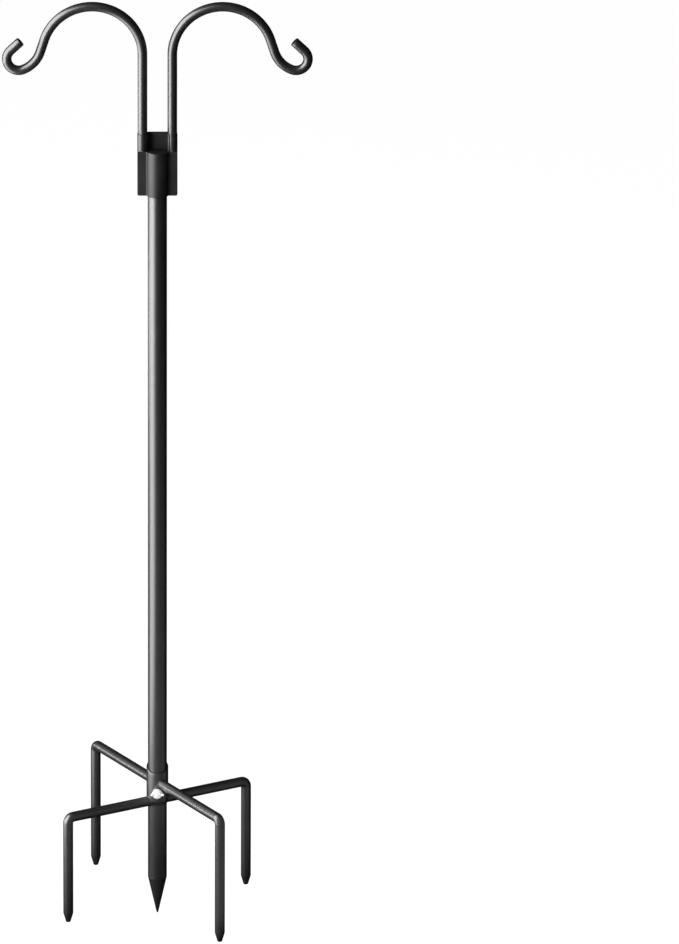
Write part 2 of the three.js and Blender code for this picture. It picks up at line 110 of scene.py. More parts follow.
# ---- colours --------------------------------------------------------------------------------------------
COAT_DARK, COAT_LIGHT, COAT_RUBBED = (0.0075, 0.0075, 0.0080), (0.0125, 0.0125, 0.0130), (0.045, 0.046, 0.048)
ZINC_DARK, ZINC_LIGHT = (0.90, 0.91, 0.92), (0.98, 0.98, 0.98)
# The plastic's two tones are darker than black plastic itself: painted shade on the pole's end cap.
PLASTIC_SHADED_DARK, PLASTIC_SHADED_LIGHT = (0.004, 0.004, 0.004), (0.008, 0.008, 0.008)

# ---- studio, in metres ----------------------------------------------------------------------------------
FLOOR_Z, FLOOR_SIZE, FLAG_SIZE, SIDE_FLAG_SIZE = -0.12, 80, 12, 8
FLAG_Z, LOW_LAMP_Z = FLOOR_Z + 0.001, FLOOR_Z + 0.002
ROOM_FILL, FLOOR_GLOW = 0.32, 0.94
FLOOR_COLOUR, FLOOR_SHADE = (0.75, 0.75, 0.75, 1), (0.12, 0.12, 0.12, 1)
# The band's glow, from BAND_GREY low down to DARK at its top, is a painted reflection of the pale floor.
DARK, BAND_GREY, BAND_FADE = 0.004, 0.22, 1.5
BAND_R, BAND_FROM, BAND_SWEEP, BAND_STEPS = 0.2, -30, 125, 24
BAND_LOW_Z, BAND_TOP_Z = LOW_LAMP_Z, 0.62

# ---- the photograph's view ------------------------------------------------------------------------------
PHOTO_HEIGHT, FOCAL_LENGTH, POLE_OFFSET = 944, 13397, 182.1  # in the photo's pixels
CAMERA_PITCH, CAMERA_PLACE, SENSOR = 19.433, (0, -13.2023, 5.0313), 36
CAMERA_NEAR, CAMERA_FAR = 1, 200


# ---- materials ------------------------------------------------------------------------------------------
def new_material(name):
    """A material with its tree, its shader and the object's own coordinates."""
    material = bpy.data.materials.new(name)
    material.use_nodes = True
    tree = material.node_tree
    where = tree.nodes.new("ShaderNodeTexCoord").outputs["Object"]
    return material, tree, tree.nodes["Principled BSDF"], where


def noise(tree, where, scale, detail, roughness=0.5):
    node = tree.nodes.new("ShaderNodeTexNoise")
    node.inputs["Scale"].default_value = scale
    node.inputs["Detail"].default_value = detail
    node.inputs["Roughness"].default_value = roughness
    tree.links.new(where, node.inputs["Vector"])
    return node.outputs["Fac"]


def remap(tree, value, low, high, from_low=0.3, from_high=0.7):
    node = tree.nodes.new("ShaderNodeMapRange")
    node.inputs["From Min"].default_value = from_low
    node.inputs["From Max"].default_value = from_high
    node.inputs["To Min"].default_value = low
    node.inputs["To Max"].default_value = high
    tree.links.new(value, node.inputs["Value"])
    return node.outputs["Result"]


def computed(tree, operation, first, second):
    """One value from two, either of which may be a number."""
    node = tree.nodes.new("ShaderNodeMath")
    node.operation = operation
    for value, slot in ((first, node.inputs[0]), (second, node.inputs[1])):
        if isinstance(value, (int, float)):
            slot.default_value = value
        else:
            tree.links.new(value, slot)
    return node.outputs[0]


def mixed_colour(tree, factor, first, second):
    """A colour between two, either of which may come from another node."""
    node = tree.nodes.new("ShaderNodeMix")
    node.data_type = "RGBA"
    for colour, slot in ((first, node.inputs["A"]), (second, node.inputs["B"])):
        if isinstance(colour, tuple):
            slot.default_value = (*colour, 1)
        else:
            tree.links.new(colour, slot)
    tree.links.new(factor, node.inputs["Factor"])
    return node.outputs["Result"]


def bumped(tree, shader, layers):
    """Bump from several heights, each (height, strength, distance in metres)."""
    last = None
    for height, strength, distance in layers:
        node = tree.nodes.new("ShaderNodeBump")
        node.inputs["Strength"].default_value = strength
        node.inputs["Distance"].default_value = distance
        tree.links.new(height, node.inputs["Height"])
        if last is not None:
            tree.links.new(last, node.inputs["Normal"])
        last = node.outputs["Normal"]
    tree.links.new(last, shader.inputs["Normal"])


def powder_coat(name, roughness, index, clear, peel_depth):
    """Black powder coat: orange peel, a fine grain, slight clouding and rubbed edges."""
    material, tree, shader, where = new_material(name)
    clouds = noise(tree, where, scale=45, detail=3)
    peel = noise(tree, where, scale=620, detail=2, roughness=0.4)
    grain = noise(tree, where, scale=2600, detail=2)
    dust = noise(tree, where, scale=240, detail=6, roughness=0.7)
    edges = tree.nodes.new("ShaderNodeNewGeometry").outputs["Pointiness"]
    rubbed = remap(tree, edges, 0.0, 1.0, from_low=0.56, from_high=0.68)
    patches = remap(tree, dust, 0.0, 0.55, from_low=0.42, from_high=0.62)
    paint = mixed_colour(tree, remap(tree, clouds, 0.0, 1.0), COAT_DARK, COAT_LIGHT)
    worn = mixed_colour(tree, computed(tree, "MULTIPLY", rubbed, patches), paint, COAT_RUBBED)
    tree.links.new(worn, shader.inputs["Base Color"])
    tree.links.new(remap(tree, dust, roughness - 0.03, roughness + 0.03), shader.inputs["Roughness"])
    shader.inputs["IOR"].default_value = index
    shader.inputs["Coat Weight"].default_value = clear
    shader.inputs["Coat Roughness"].default_value = 0.28
    bumped(tree, shader, [(peel, peel_depth, 0.0003), (grain, 0.06, 0.0001)])
    return material


def zinc_plate():
    """Cast zinc, plated: bright, finely pebbled, with a few darker spots."""
    material, tree, shader, where = new_material("bright_zinc_plate")
    clouds = noise(tree, where, scale=260, detail=4)
    pebble = noise(tree, where, scale=1900, detail=3)
    tint = mixed_colour(tree, remap(tree, clouds, 0.0, 1.0), ZINC_DARK, ZINC_LIGHT)
    tree.links.new(tint, shader.inputs["Base Color"])
    tree.links.new(remap(tree, clouds, 0.34, 0.46), shader.inputs["Roughness"])
    shader.inputs["Metallic"].default_value = 0.25
    bumped(tree, shader, [(pebble, 0.18, 0.0002)])
    return material


def moulded_plastic_and_painted_shade():
    """Black polyethylene with a fine moulded grain, its colour darker than the plastic's own: painted shade
    for the pole's end cap in the bracket's pocket.
    """
    material, tree, shader, where = new_material("black_moulded_plastic_and_painted_shade")
    grain = noise(tree, where, scale=1500, detail=4)
    clouds = noise(tree, where, scale=120, detail=2)
    tint = mixed_colour(tree, remap(tree, clouds, 0.0, 1.0), PLASTIC_SHADED_DARK, PLASTIC_SHADED_LIGHT)
    tree.links.new(tint, shader.inputs["Base Color"])
    tree.links.new(remap(tree, grain, 0.50, 0.62), shader.inputs["Roughness"])
    bumped(tree, shader, [(grain, 0.25, 0.0002)])
    return material


# The tubes and rods shine most, the bracket's plates least and its two rolled tubes in between.
FINISHES = {
    "powder_coat": powder_coat("satin_black_powder_coat", 0.37, index=2.1, clear=0.5, peel_depth=0.05),
    "duller_coat": powder_coat("dull_black_powder_coat", 0.46, index=1.6, clear=0.0, peel_depth=0.10),
    "tube_coat": powder_coat("half_dull_black_powder_coat", 0.41, index=1.8, clear=0.2, peel_depth=0.06),
    "zinc_plate": zinc_plate(),
    "black_plastic": moulded_plastic_and_painted_shade(),
}


# ---- mesh tools -----------------------------------------------------------------------------------------
class Shape:
    """Points and faces in millimetres, gathered from closed shells."""

    def __init__(self):
        self.points, self.faces = [], []

    def add(self, points, faces):
        start = len(self.points)
        self.points += [tuple(p) for p in points]
        self.faces += [tuple(start + i for i in face) for face in faces]
        return self

    def shell(self, rings, closed=False):
        """Quads between rings of equal count. An open run of rings is capped, a closed one meets itself."""
        count = len(rings[0])
        points = [p for ring in rings for p in ring]
        faces = []
        spans = len(rings) if closed else len(rings) - 1
        for k in range(spans):
            a, b = k * count, ((k + 1) % len(rings)) * count
            for i in range(count):
                j = (i + 1) % count
                faces.append((a + i, a + j, b + j, b + i))
        if not closed:
            faces.append(tuple(reversed(range(count))))
            faces.append(tuple((len(rings) - 1) * count + i for i in range(count)))
        return self.add(points, faces)

    def moved(self, change):
        self.points = [change(*p) for p in self.points]
        return self


def pointing(side, height=0):
    """Turns what was made along Z to point to the front or the back, at a height."""
    return lambda x, y, z: (x, side * z, y + height)


def mesh_from(name, shape):
    mesh = bpy.data.meshes.new(name)
    mesh.from_pydata([(x * MM, y * MM, z * MM) for x, y, z in shape.points], [], shape.faces)
    work = bmesh.new()
    work.from_mesh(mesh)
    bmesh.ops.remove_doubles(work, verts=work.verts, dist=SAME_POINT)
    bmesh.ops.dissolve_degenerate(work, dist=NO_LENGTH, edges=work.edges)
    bmesh.ops.recalc_face_normals(work, faces=work.faces)
    work.to_mesh(mesh)
    work.free()
    return mesh


def linked(name, data):
    thing = bpy.data.objects.new(name, data)
    bpy.context.scene.collection.objects.link(thing)
    return thing


def combined(thing, operation, other):
    """Gives the object a boolean modifier with the other one."""
    modifier = thing.modifiers.new(operation, "BOOLEAN")
    modifier.operation, modifier.solver = operation, "EXACT"
    modifier.object = other


def with_modifiers(thing):
    """The object's mesh with its modifiers worked in."""
    graph = bpy.context.evaluated_depsgraph_get()
    mesh = bpy.data.meshes.new_from_object(thing.evaluated_get(graph))
    thing.modifiers.clear()
    thing.data = mesh
    return mesh


def drilled(thing, start, end, side, height):
    """Bores a stud's hole, from one distance from the pole's axis to another."""
    bore = turned([(STUD_HOLE_R, start), (STUD_HOLE_R, end)], DRILL_SIDES).moved(pointing(side, height))
    drill = linked("drill", mesh_from("drill", bore))
    combined(thing, "DIFFERENCE", drill)
    with_modifiers(thing)
    bpy.data.objects.remove(drill)


def dressed(thing, body, node, slot, crease=SMOOTH_BELOW, finish=None):
    """Smooth shading, a finish, the body and the CAD node that the object stands for."""
    thing.data.shade_smooth()
    thing.data.set_sharp_from_angle(angle=math.radians(crease))
    thing.data.materials.clear()
    thing.data.materials.append(FINISHES[finish or slot])
    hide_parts(node)
    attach(thing, body)


def piece(name, shape, body, node, slot, crease=SMOOTH_BELOW, finish=None):
    dressed(linked(name, mesh_from(name, shape)), body, node, slot, crease, finish)


# ---- outlines and solids --------------------------------------------------------------------------------
def angles(count):
    return [2 * math.pi * i / count for i in range(count)]


def circle(radius, z, sides):
    return [(radius * math.cos(a), radius * math.sin(a), z) for a in angles(sides)]


def arc(centre, radius, start, end, steps, first=1):
    """Points along an arc, from its step `first` to its end."""
    points = []
    for k in range(first, steps + 1):
        a = start + (end - start) * k / steps
        points.append((centre[0] + radius * math.cos(a), centre[1] + radius * math.sin(a)))
    return points


def line(start, end, y, steps):
    """Points along a straight in x, from its first step to its end."""
    return [(start + (end - start) * k / steps, y) for k in range(1, steps + 1)]


def curve(start, pull, end, steps=8):
    """Points along a quadratic curve, without its end."""
    points = []
    for t in [k / steps for k in range(steps)]:
        shares = ((1 - t) ** 2, 2 * t * (1 - t), t * t)
        points.append(tuple(sum(s * v for s, v in zip(shares, values)) for values in zip(start, pull, end)))
    return points


def rounded(corners, closed=True, step=12.0):
    """An outline with each corner turned into an arc, in steps of so many degrees. An open one keeps its
    two end points."""
    result = []
    count = len(corners)
    for i, (x, y, r) in enumerate(corners):
        if r <= 0 or (not closed and i in (0, count - 1)):
            result.append((x, y))
            continue
        here = Vector((x, y))
        back = Vector(corners[i - 1][:2]) - here
        on = Vector(corners[(i + 1) % count][:2]) - here
        back.normalize()
        on.normalize()
        opening = back.angle(on)
        reach = r / math.tan(opening / 2)
        centre = here + (back + on).normalized() * (r / math.sin(opening / 2))
        first, last = here + back * reach - centre, here + on * reach - centre
        sweep = math.pi - opening
        if first.x * last.y - first.y * last.x < 0:
            sweep = -sweep
        steps = max(2, math.ceil(abs(math.degrees(sweep)) / step))
        for k in range(steps + 1):
            c, s = math.cos(sweep * k / steps), math.sin(sweep * k / steps)
            result.append((centre.x + first.x * c - first.y * s, centre.y + first.x * s + first.y * c))
    return result


def turned(profile, sides, closed=False):
    """A solid of revolution about Z from (radius, height) points. A closed profile makes a ring."""
    return Shape().shell([circle(r, z, sides) for r, z in profile], closed)


def offset(outline, distance):
    """A closed anticlockwise outline moved inwards."""
    sharpest = 0.35  # keeps a sharp corner from moving too far
    count = len(outline)
    moved = []
    for i, (x, y) in enumerate(outline):
        ax, ay = outline[i - 1]
        bx, by = outline[(i + 1) % count]
        lean = Vector((y - ay, ax - x)).normalized() + Vector((by - y, x - bx)).normalized()
        lean *= distance / max(sharpest, lean.length_squared / 2)
        moved.append((x - lean.x, y - lean.y))
    return moved


def slab(outline, low, high, edge, caps=None):
    """A prism over an outline, with rounded upper and lower edges. Its lower end may be a function of x. Its
    two end faces may be given as smaller faces, each a list of the outline's points."""
    low_at = low if callable(low) else lambda x: low
    rings = []
    quarter = [math.pi / 2 * k / EDGE_STEPS for k in range(EDGE_STEPS + 1)]
    for a in quarter:
        inner = offset(outline, edge * (1 - math.sin(a)))
        rings.append([(x, y, low_at(x) + edge * (1 - math.cos(a))) for x, y in inner])
    for a in quarter:
        inner = offset(outline, edge * (1 - math.cos(a)))
        rings.append([(x, y, high - edge * (1 - math.sin(a))) for x, y in inner])
    shape = Shape().shell(rings)
    if caps:
        shape.faces = shape.faces[:-2]
        for start in (0, (len(rings) - 1) * len(outline)):
            shape.faces += [tuple(start + i for i in face) for face in caps]
    return shape


class Path:
    """Straights and bends in X and Z, marked off in short steps with a radius at each."""

    def __init__(self, x, z, heading, radius):
        self.x, self.z, self.heading, self.radius = x, z, math.radians(heading), radius
        self.marks = []
        self.mark()

    def mark(self):
        self.marks.append((self.x, self.z, self.heading, self.radius))

    def thick(self, radius):
        self.radius = radius
        self.mark()
        return self

    def straight(self, length, steps=1, end_radius=None):
        start = self.radius
        for k in range(steps):
            self.x += length / steps * math.cos(self.heading)
            self.z += length / steps * math.sin(self.heading)
            if end_radius is not None:
                self.radius = start + (end_radius - start) * (k + 1) / steps
            self.mark()
        return self

    def bend(self, radius, sweep, step):
        """A bend to the left, or to the right if the sweep is below 0, in steps of so many degrees."""
        side = math.copysign(radius, sweep)
        cx, cz = self.x - side * math.sin(self.heading), self.z + side * math.cos(self.heading)
        steps = max(2, math.ceil(abs(sweep) / step))
        for _ in range(steps):
            self.heading += math.radians(sweep) / steps
            self.x, self.z = cx + side * math.sin(self.heading), cz - side * math.cos(self.heading)
            self.mark()
        return self

    def rings(self, sides):
        """Circles square to the path, which lies in the plane y = 0."""
        result = []
        for x, z, heading, radius in self.marks:
            across_x, across_z = -math.sin(heading), math.cos(heading)
            ring = []
            for a in angles(sides):
                out, side = radius * math.cos(a), radius * math.sin(a)
                ring.append((x + across_x * out, side, z + across_z * out))
            result.append(ring)
        return result


# ---- weld beads -----------------------------------------------------------------------------------------
def bead(stations, sides=10):
    """The rings of a weld bead. A station is (centre, one direction across it, the other, radius)."""
    return [
        [tuple(centre + one * (radius * math.cos(a)) + other * (radius * math.sin(a))) for a in angles(sides)]
        for centre, one, other, radius in stations
    ]


def off_tube(point, out):
    """The direction off an upright tube at a point on it, made square to `out`."""
    off = Vector((point.x, point.y, 0)).normalized()
    return (off - out * off.dot(out)).normalized()


# ---- ground spike ---------------------------------------------------------------------------------------
def sloped(x, y, z):
    """Shears the socket's mouth, so that its edge falls towards the front."""
    t = min(1.0, max(0.0, (z - SLOPE_FROM_Z) / SLOPE_OVER))
    return x, y, z + SOCKET_MOUTH_SLOPE * y * t * t * (3 - 2 * t)


def make_spike_tube():
    """The tube with its socket, and the hole for the socket's screw."""
    bore = SPIKE_R - SPIKE_WALL
    foot = SPIKE_BOTTOM_Z + SEAT_GAP
    sheared = [SLOPE_FROM_Z + rise for rise in (0, 3, 6, 9, 12, 16)]
    corners = [
        (bore, foot, 0.3),
        (SPIKE_R, foot, 0.12),
        (SPIKE_R, SOCKET_FLOOR_Z - SOCKET_TAPER, 5),
        (SOCKET_R, SOCKET_FLOOR_Z, 5),
        *[(SOCKET_R, z, 0) for z in sheared],
        (SOCKET_R, SOCKET_MOUTH_Z, 0.4),
        (SOCKET_BORE_R, SOCKET_MOUTH_Z, 0.75),
        *[(SOCKET_BORE_R, z, 0) for z in reversed(sheared)],
        (SOCKET_BORE_R, SOCKET_FLOOR_Z, 0.4),
        (bore, SOCKET_FLOOR_Z, 0.3),
    ]
    tube = turned(rounded(corners), TUBE_SIDES, closed=True).moved(sloped)
    thing = linked("spike_and_socket", mesh_from("spike_and_socket", tube))
    drilled(thing, start=6, end=14, side=FRONT, height=SOCKET_SCREW_Z)
    dressed(thing, "base", "spike_tube", "powder_coat")


def make_spike_point():
    """The solid point, with a shank inside the tube."""
    shank = SPIKE_R - SPIKE_WALL - SEAT_GAP
    rim = SPIKE_R - SPIKE_SEAM
    corners = [
        (0, SPIKE_TIP_Z, 0),
        (SPIKE_TIP_R, SPIKE_TIP_Z + 0.15, 0.45),
        (rim, SPIKE_BOTTOM_Z - 0.6, 1.5),
        (rim, SPIKE_BOTTOM_Z, 0.12),
        (shank, SPIKE_BOTTOM_Z, 0),
        (shank, SPIKE_BOTTOM_Z + SPIKE_SHANK, 0.8),
        (0, SPIKE_BOTTOM_Z + SPIKE_SHANK, 0),
    ]
    point = turned(rounded(corners, closed=False), TUBE_SIDES)
    piece("spike_solid_point", point, "base", "spike_point", "powder_coat")


def wall_radius(z):
    """The spike's outside at a height."""
    t = (z - (SOCKET_FLOOR_Z - SOCKET_TAPER)) / SOCKET_TAPER
    return SPIKE_R + (SOCKET_R - SPIKE_R) * min(1.0, max(0.0, t))


def prong_rings(z, reach):
    """A prong along X, from just inside the spike's wall to its blunt point."""
    shoulder, nose, end = 0.8, 0.5, 0.3  # the lengths over which the point's edges are rounded
    path = (
        Path(PRONG_ROOT, z, 0, PRONG_R)
        .straight(reach - PRONG_BEND_R - PRONG_ROOT, 6)
        .bend(PRONG_BEND_R, -90, step=5)
        .straight(z - PRONG_BEND_R - PRONG_TIP_Z - PRONG_POINT, 8)
        .straight(shoulder, 1, PRONG_R - 0.1)
        .straight(PRONG_POINT - shoulder - nose - end, 4, PRONG_POINT_R + 0.35)
        .straight(nose, 1, PRONG_POINT_R - 0.1)
        .straight(end, 1, PRONG_POINT_R - 0.9)
    )
    rings = path.rings(ROD_SIDES)
    sunk = 0.5
    seat = []
    for _, y, height in rings[0]:
        wall = wall_radius(height) - sunk
        seat.append((math.sqrt(wall * wall - y * y), y, height))
    return [seat, *rings]


def prong_weld(z, turn):
    """The bead round a prong's root, uneven in its own way on each prong."""
    lift = PRONG_WELD_LIFT
    stations = []
    for a in angles(96):
        out = Vector((0, math.cos(a), math.sin(a)))
        y, height = (PRONG_R + lift) * out.y, z + (PRONG_R + lift) * out.z
        wall = wall_radius(height) + lift
        point = Vector((math.sqrt(wall * wall - y * y), y, height))
        radius = PRONG_WELD_R + 0.04 * math.sin(31 * a + z) + 0.05 * math.sin(3 * a + turn)
        stations.append((point, out, off_tube(point, out), radius))
    return bead(stations, 12)


def make_prong(place, z, reach, turn):
    shape = Shape().shell(prong_rings(z, reach)).shell(prong_weld(z, turn), closed=True)
    c, s = math.cos(math.radians(turn)), math.sin(math.radians(turn))
    shape.moved(lambda x, y, height: (x * c - y * s, x * s + y * c, height))
    piece("prong_rod_" + place, shape, "base", "prong_" + place, "powder_coat")


def make_boss():
    """The threaded collar under the socket's screw, and the bead round its foot."""
    corners = [
        (STUD_HOLE_R, BOSS_FOOT_Y, 0),
        (BOSS_R, BOSS_FOOT_Y, 0),
        (BOSS_R, BOSS_Y, 0.5),
        (STUD_HOLE_R, BOSS_Y, 0.3),
    ]
    shape = turned(rounded(corners), SCREW_SIDES, closed=True).moved(pointing(FRONT, SOCKET_SCREW_Z))
    weld_r, wall = BOSS_R + BOSS_WELD_LIFT, SOCKET_R + 0.1
    stations = []
    for a in angles(72):
        out = Vector((math.cos(a), 0, math.sin(a)))
        x = weld_r * out.x
        point = Vector((x, -math.sqrt(wall**2 - x * x), SOCKET_SCREW_Z + weld_r * out.z))
        stations.append((point, out, off_tube(point, out), BOSS_WELD_R + 0.06 * math.sin(23 * a)))
    shape.shell(bead(stations), closed=True)
    piece("socket_threaded_boss", shape, "base", "socket_boss", "powder_coat")


# ---- wing screws ----------------------------------------------------------------------------------------
def hub_solid(base):
    """The screw's domed hub."""
    top = base + HUB_HEIGHT
    corners = [
        (0, base, 0),
        (HUB_BASE_R, base, 0.5),
        (HUB_R, base + HUB_FLARE, 2.0),
        (HUB_R * 0.95, top - HUB_HEIGHT * 0.3, 2.0),
        (HUB_CROWN_R, top - HUB_HEIGHT * 0.06, 2.5),
        (0, top, 0),
    ]
    return turned(rounded(corners, closed=False), SCREW_SIDES)


def wings_solid(base):
    """Both wings, as one slab through the hub."""
    half, end = WING_SPAN / 2, base + WING_REACH
    root, saddle = (HUB_BASE_R * 0.8, base + 0.6), (HUB_CROWN_R * 0.6, base + HUB_HEIGHT - 1)
    side, tip = (half, end - 1.2), (half - 1.6, end - 0.4)
    right = [
        *curve(root, (half, base + WING_ROOT * 0.7), side),
        *curve(side, (half - 0.4, end), tip, 5),
        *curve(tip, (HUB_BASE_R * 0.9, base + HUB_HEIGHT - 0.6), saddle),
        saddle,
    ]
    outline = right + [(-x, z) for x, z in reversed(right)]
    return slab(outline, -WING_THICKNESS / 2, WING_THICKNESS / 2, WING_EDGE_R).moved(pointing(BACK))


def cast_head(base):
    """The hub and the wings grown into each other, like a casting."""
    head = linked("head", mesh_from("head", hub_solid(base)))
    wings = linked("wings", mesh_from("wings", wings_solid(base)))
    combined(head, "UNION", wings)
    cast = head.modifiers.new("cast", "REMESH")
    cast.mode, cast.voxel_size = "VOXEL", CAST_GRAIN * MM
    soft = head.modifiers.new("soft", "SMOOTH")
    soft.factor, soft.iterations = 0.5, CAST_SMOOTHING
    mesh = with_modifiers(head)
    shape = Shape().add([tuple(v.co / MM) for v in mesh.vertices], [tuple(f.vertices) for f in mesh.polygons])
    bpy.data.objects.remove(head)
    bpy.data.objects.remove(wings)
    return shape


def threaded_stud(end):
    """Rings from the screw's chamfered tip to a height inside its head."""
    rings = []
    steps = int((end - SCREW_TIP) / (THREAD_PITCH / RINGS_A_PITCH))
    for k in range(steps + 1):
        z = SCREW_TIP + (end - SCREW_TIP) * k / steps
        chamfer = STUD_R - STUD_CHAMFER + (z - SCREW_TIP)
        ring = []
        for a in angles(THREAD_SIDES):
            phase = (z / THREAD_PITCH - a / (2 * math.pi)) % 1
            r = min(chamfer, STUD_R - THREAD_DEPTH * abs(2 * phase - 1) ** THREAD_SHARPNESS)
            ring.append((r * math.cos(a), r * math.sin(a), z))
        rings.append(ring)
    return rings


def make_wing_screw(name, node, body, side, base, height):
    shape = cast_head(base).shell(threaded_stud(base + 0.5))
    shape.moved(lambda x, y, z: (x, side * z, height - side * y))
    piece(name, shape, body, node, "zinc_plate", crease=40)


# ---- pole -----------------------------------------------------------------------------------------------
def make_pole():
    inner = POLE_R - POLE_WALL
    foot = SOCKET_FLOOR_Z + SEAT_GAP
    corners = [(inner, foot, 0.3), (POLE_R, foot, 0.4), (POLE_R, POLE_TOP_Z, 0.4), (inner, POLE_TOP_Z, 0.3)]
    piece("pole", turned(rounded(corners), TUBE_SIDES, closed=True), "pole", "pole_tube", "powder_coat")


def make_end_cap():
    """A thin cap with a skirt inside the pole and a small dimple in the middle of its top."""
    skirt_r, seat = POLE_R - POLE_WALL - SEAT_GAP, POLE_TOP_Z + SEAT_GAP
    top, hollow_r = seat + CAP_HEIGHT, skirt_r - CAP_WALL
    corners = [
        (0, seat - CAP_WALL, 0),
        (hollow_r, seat - CAP_WALL, 0.4),
        (hollow_r, seat - CAP_SKIRT, 0.3),
        (skirt_r, seat - CAP_SKIRT, 0.4),
        (skirt_r, seat, 0),
        (CAP_RIM_R, seat, 0.15),
        (CAP_RIM_R, top - 0.3, 0.6),
        (CAP_RIM_R - 1.2, top, 0.5),
        (1.5, top, 0.3),
        (1.0, top - CAP_DIMPLE, 0.3),
        (0, top - CAP_DIMPLE, 0),
    ]
    cap = turned(rounded(corners, closed=False), TUBE_SIDES)
    piece("pole_end_cap", cap, "pole", "pole_top_plug", "black_plastic")


# ---- bracket --------------------------------------------------------------------------------------------
def make_back_plate():
    """A flat plate with rounded corners, and the hole for the clamp's screw."""
    w, low, high, r = HALF_WIDTH, BRACKET_Z, BACK_TOP_Z, CORNER_R
    outline = rounded([(-w, low, r), (w, low, r), (w, high, r), (-w, high, r)], step=8)
    shape = slab(outline, BACK_Y, BACK_Y + BACK_T, BACK_EDGE_R).moved(pointing(BACK))
    thing = linked("bracket_back", mesh_from("bracket_back", shape))
    drilled(thing, start=8, end=14, side=BACK, height=CLAMP_SCREW_Z)
    dressed(thing, "bracket", "bracket_back_plate", "powder_coat", finish="duller_coat")


def front_plate_half():
    """The right half of the sheet's section: along the front from the middle to the wing's edge, and then
    back behind, with points that lie across the sheet from the first ones."""
    outer, front_y, r = BULGE_R + SHEET_T, WING_BACK_Y - SHEET_T, SHEET_SIDE_EDGE_R
    bend_y = front_y - SHEET_BEND_R
    bend_x = math.sqrt((outer + SHEET_BEND_R) ** 2 - bend_y**2)
    turn = math.atan2(bend_y, bend_x)  # of the bend's centre, seen from the pole's axis
    start, edge = HALF_WIDTH - CORNER_R, HALF_WIDTH - r
    down, up, axis, bend = -math.pi / 2, math.pi / 2, (0, 0), (bend_x, bend_y)
    return [
        *arc(axis, outer, down, turn, BULGE_STEPS, first=0),
        *arc(bend, SHEET_BEND_R, turn + math.pi, up, SHEET_STEPS),
        *line(bend_x, start, front_y, FLAT_STEPS),
        *line(start, edge, front_y, SHEET_STEPS),
        *arc((edge, front_y + r), r, down, 0, SHEET_EDGE_STEPS),
        *arc((edge, WING_BACK_Y - r), r, 0, up, SHEET_EDGE_STEPS),
        *line(edge, start, WING_BACK_Y, SHEET_STEPS),
        *line(start, bend_x, WING_BACK_Y, FLAT_STEPS),
        *arc(bend, SHEET_BEND_R + SHEET_T, up, turn + math.pi, SHEET_STEPS),
        *arc(axis, BULGE_R, turn, down, BULGE_STEPS),
    ]


def front_plate_foot(x):
    """The sheet's lower edge, with a rounded corner at each wing."""
    over = max(0.0, min(CORNER_R, abs(x) - (HALF_WIDTH - CORNER_R)))
    return BRACKET_Z + CORNER_R - math.sqrt(CORNER_R**2 - over**2)


def make_front_plate():
    """Flat wings and a half-round bulge, bent from one sheet, with a small bend between them."""
    half = front_plate_half()
    outline = half + [(-x, y) for x, y in reversed(half[1:-1])]
    last = len(half) - 1
    mirrored = [i if i in (0, last) else len(outline) - i for i in range(len(half))]
    caps = []
    for order in (range(len(half)), mirrored):
        caps += [[order[i], order[i + 1], order[last - i - 1], order[last - i]] for i in range(last // 2 - 1)]
        caps.append([order[last // 2 - 1], order[last // 2], order[last // 2 + 1]])
    shape = slab(outline, front_plate_foot, FRONT_TOP_Z, SHEET_TOP_EDGE_R, caps)
    piece("bracket_front", shape, "bracket", "bracket_front_plate", "powder_coat", finish="duller_coat")


def slit_tube(slit_at):
    """A rolled tube with an open slit, its two ends filled with quads between the outer and inner arcs."""
    outer, inner = HOOK_SOCKET_R, HOOK_SOCKET_R - HOOK_SOCKET_WALL
    half_out, half_in = SLIT / 2 / outer, SLIT / 2 / inner
    halfway, inner_run, inner_rise = 0.1, 0.2, 0.6 * SLIT_EDGE_R  # how the slit's edges are rounded
    from_out, from_in = half_out + SLIT_EDGE_R / outer, half_in + inner_run / inner
    edge = [
        (outer - halfway, half_out + halfway / outer),
        (outer - SLIT_EDGE_R, half_out),
        (inner + inner_rise, half_in),
    ]
    end, steps, middle = slit_at + 2 * math.pi, SLIT_TUBE_STEPS, (0, 0)
    outline = [
        *arc(middle, outer, slit_at + from_out, end - from_out, steps, first=0),
        *[(r * math.cos(end - a), r * math.sin(end - a)) for r, a in edge],
        *arc(middle, inner, end - from_in, slit_at + from_in, steps, first=0),
        *[(r * math.cos(slit_at + a), r * math.sin(slit_at + a)) for r, a in reversed(edge)],
    ]
    last = 2 * steps + len(edge) + 1  # the inner arc's last point, across the wall from the outer one's first
    caps = [[i, i + 1, last - i - 1, last - i] for i in range(steps)]
    caps += [list(range(steps, steps + len(edge) + 2)), [*range(last, last + len(edge) + 1), 0]]
    return slab(outline, BRACKET_Z, BACK_TOP_Z, HOOK_SOCKET_EDGE_R, caps)


def tack_weld():
    """The bead between a hook's tube and the front plate's upper edge, thin at both ends."""
    steps = 24
    stations = []
    for k in range(steps + 1):
        t = 2 * k / steps - 1
        a = -math.pi / 2 + math.radians(TACK_TURN) * t
        out = Vector((math.cos(a), math.sin(a), 0))
        swell = (TACK_WELD_R - TACK_WELD_END_R) * math.sqrt(1 - t * t)
        radius = TACK_WELD_END_R + swell * (1 + 0.06 * math.sin(17 * t))
        centre = out * (HOOK_SOCKET_R + TACK_WELD_LIFT) + Vector((0, 0, FRONT_TOP_Z + TACK_WELD_LIFT))
        stations.append((centre, out, Vector((0, 0, 1)), radius))
    return bead(stations, 14)


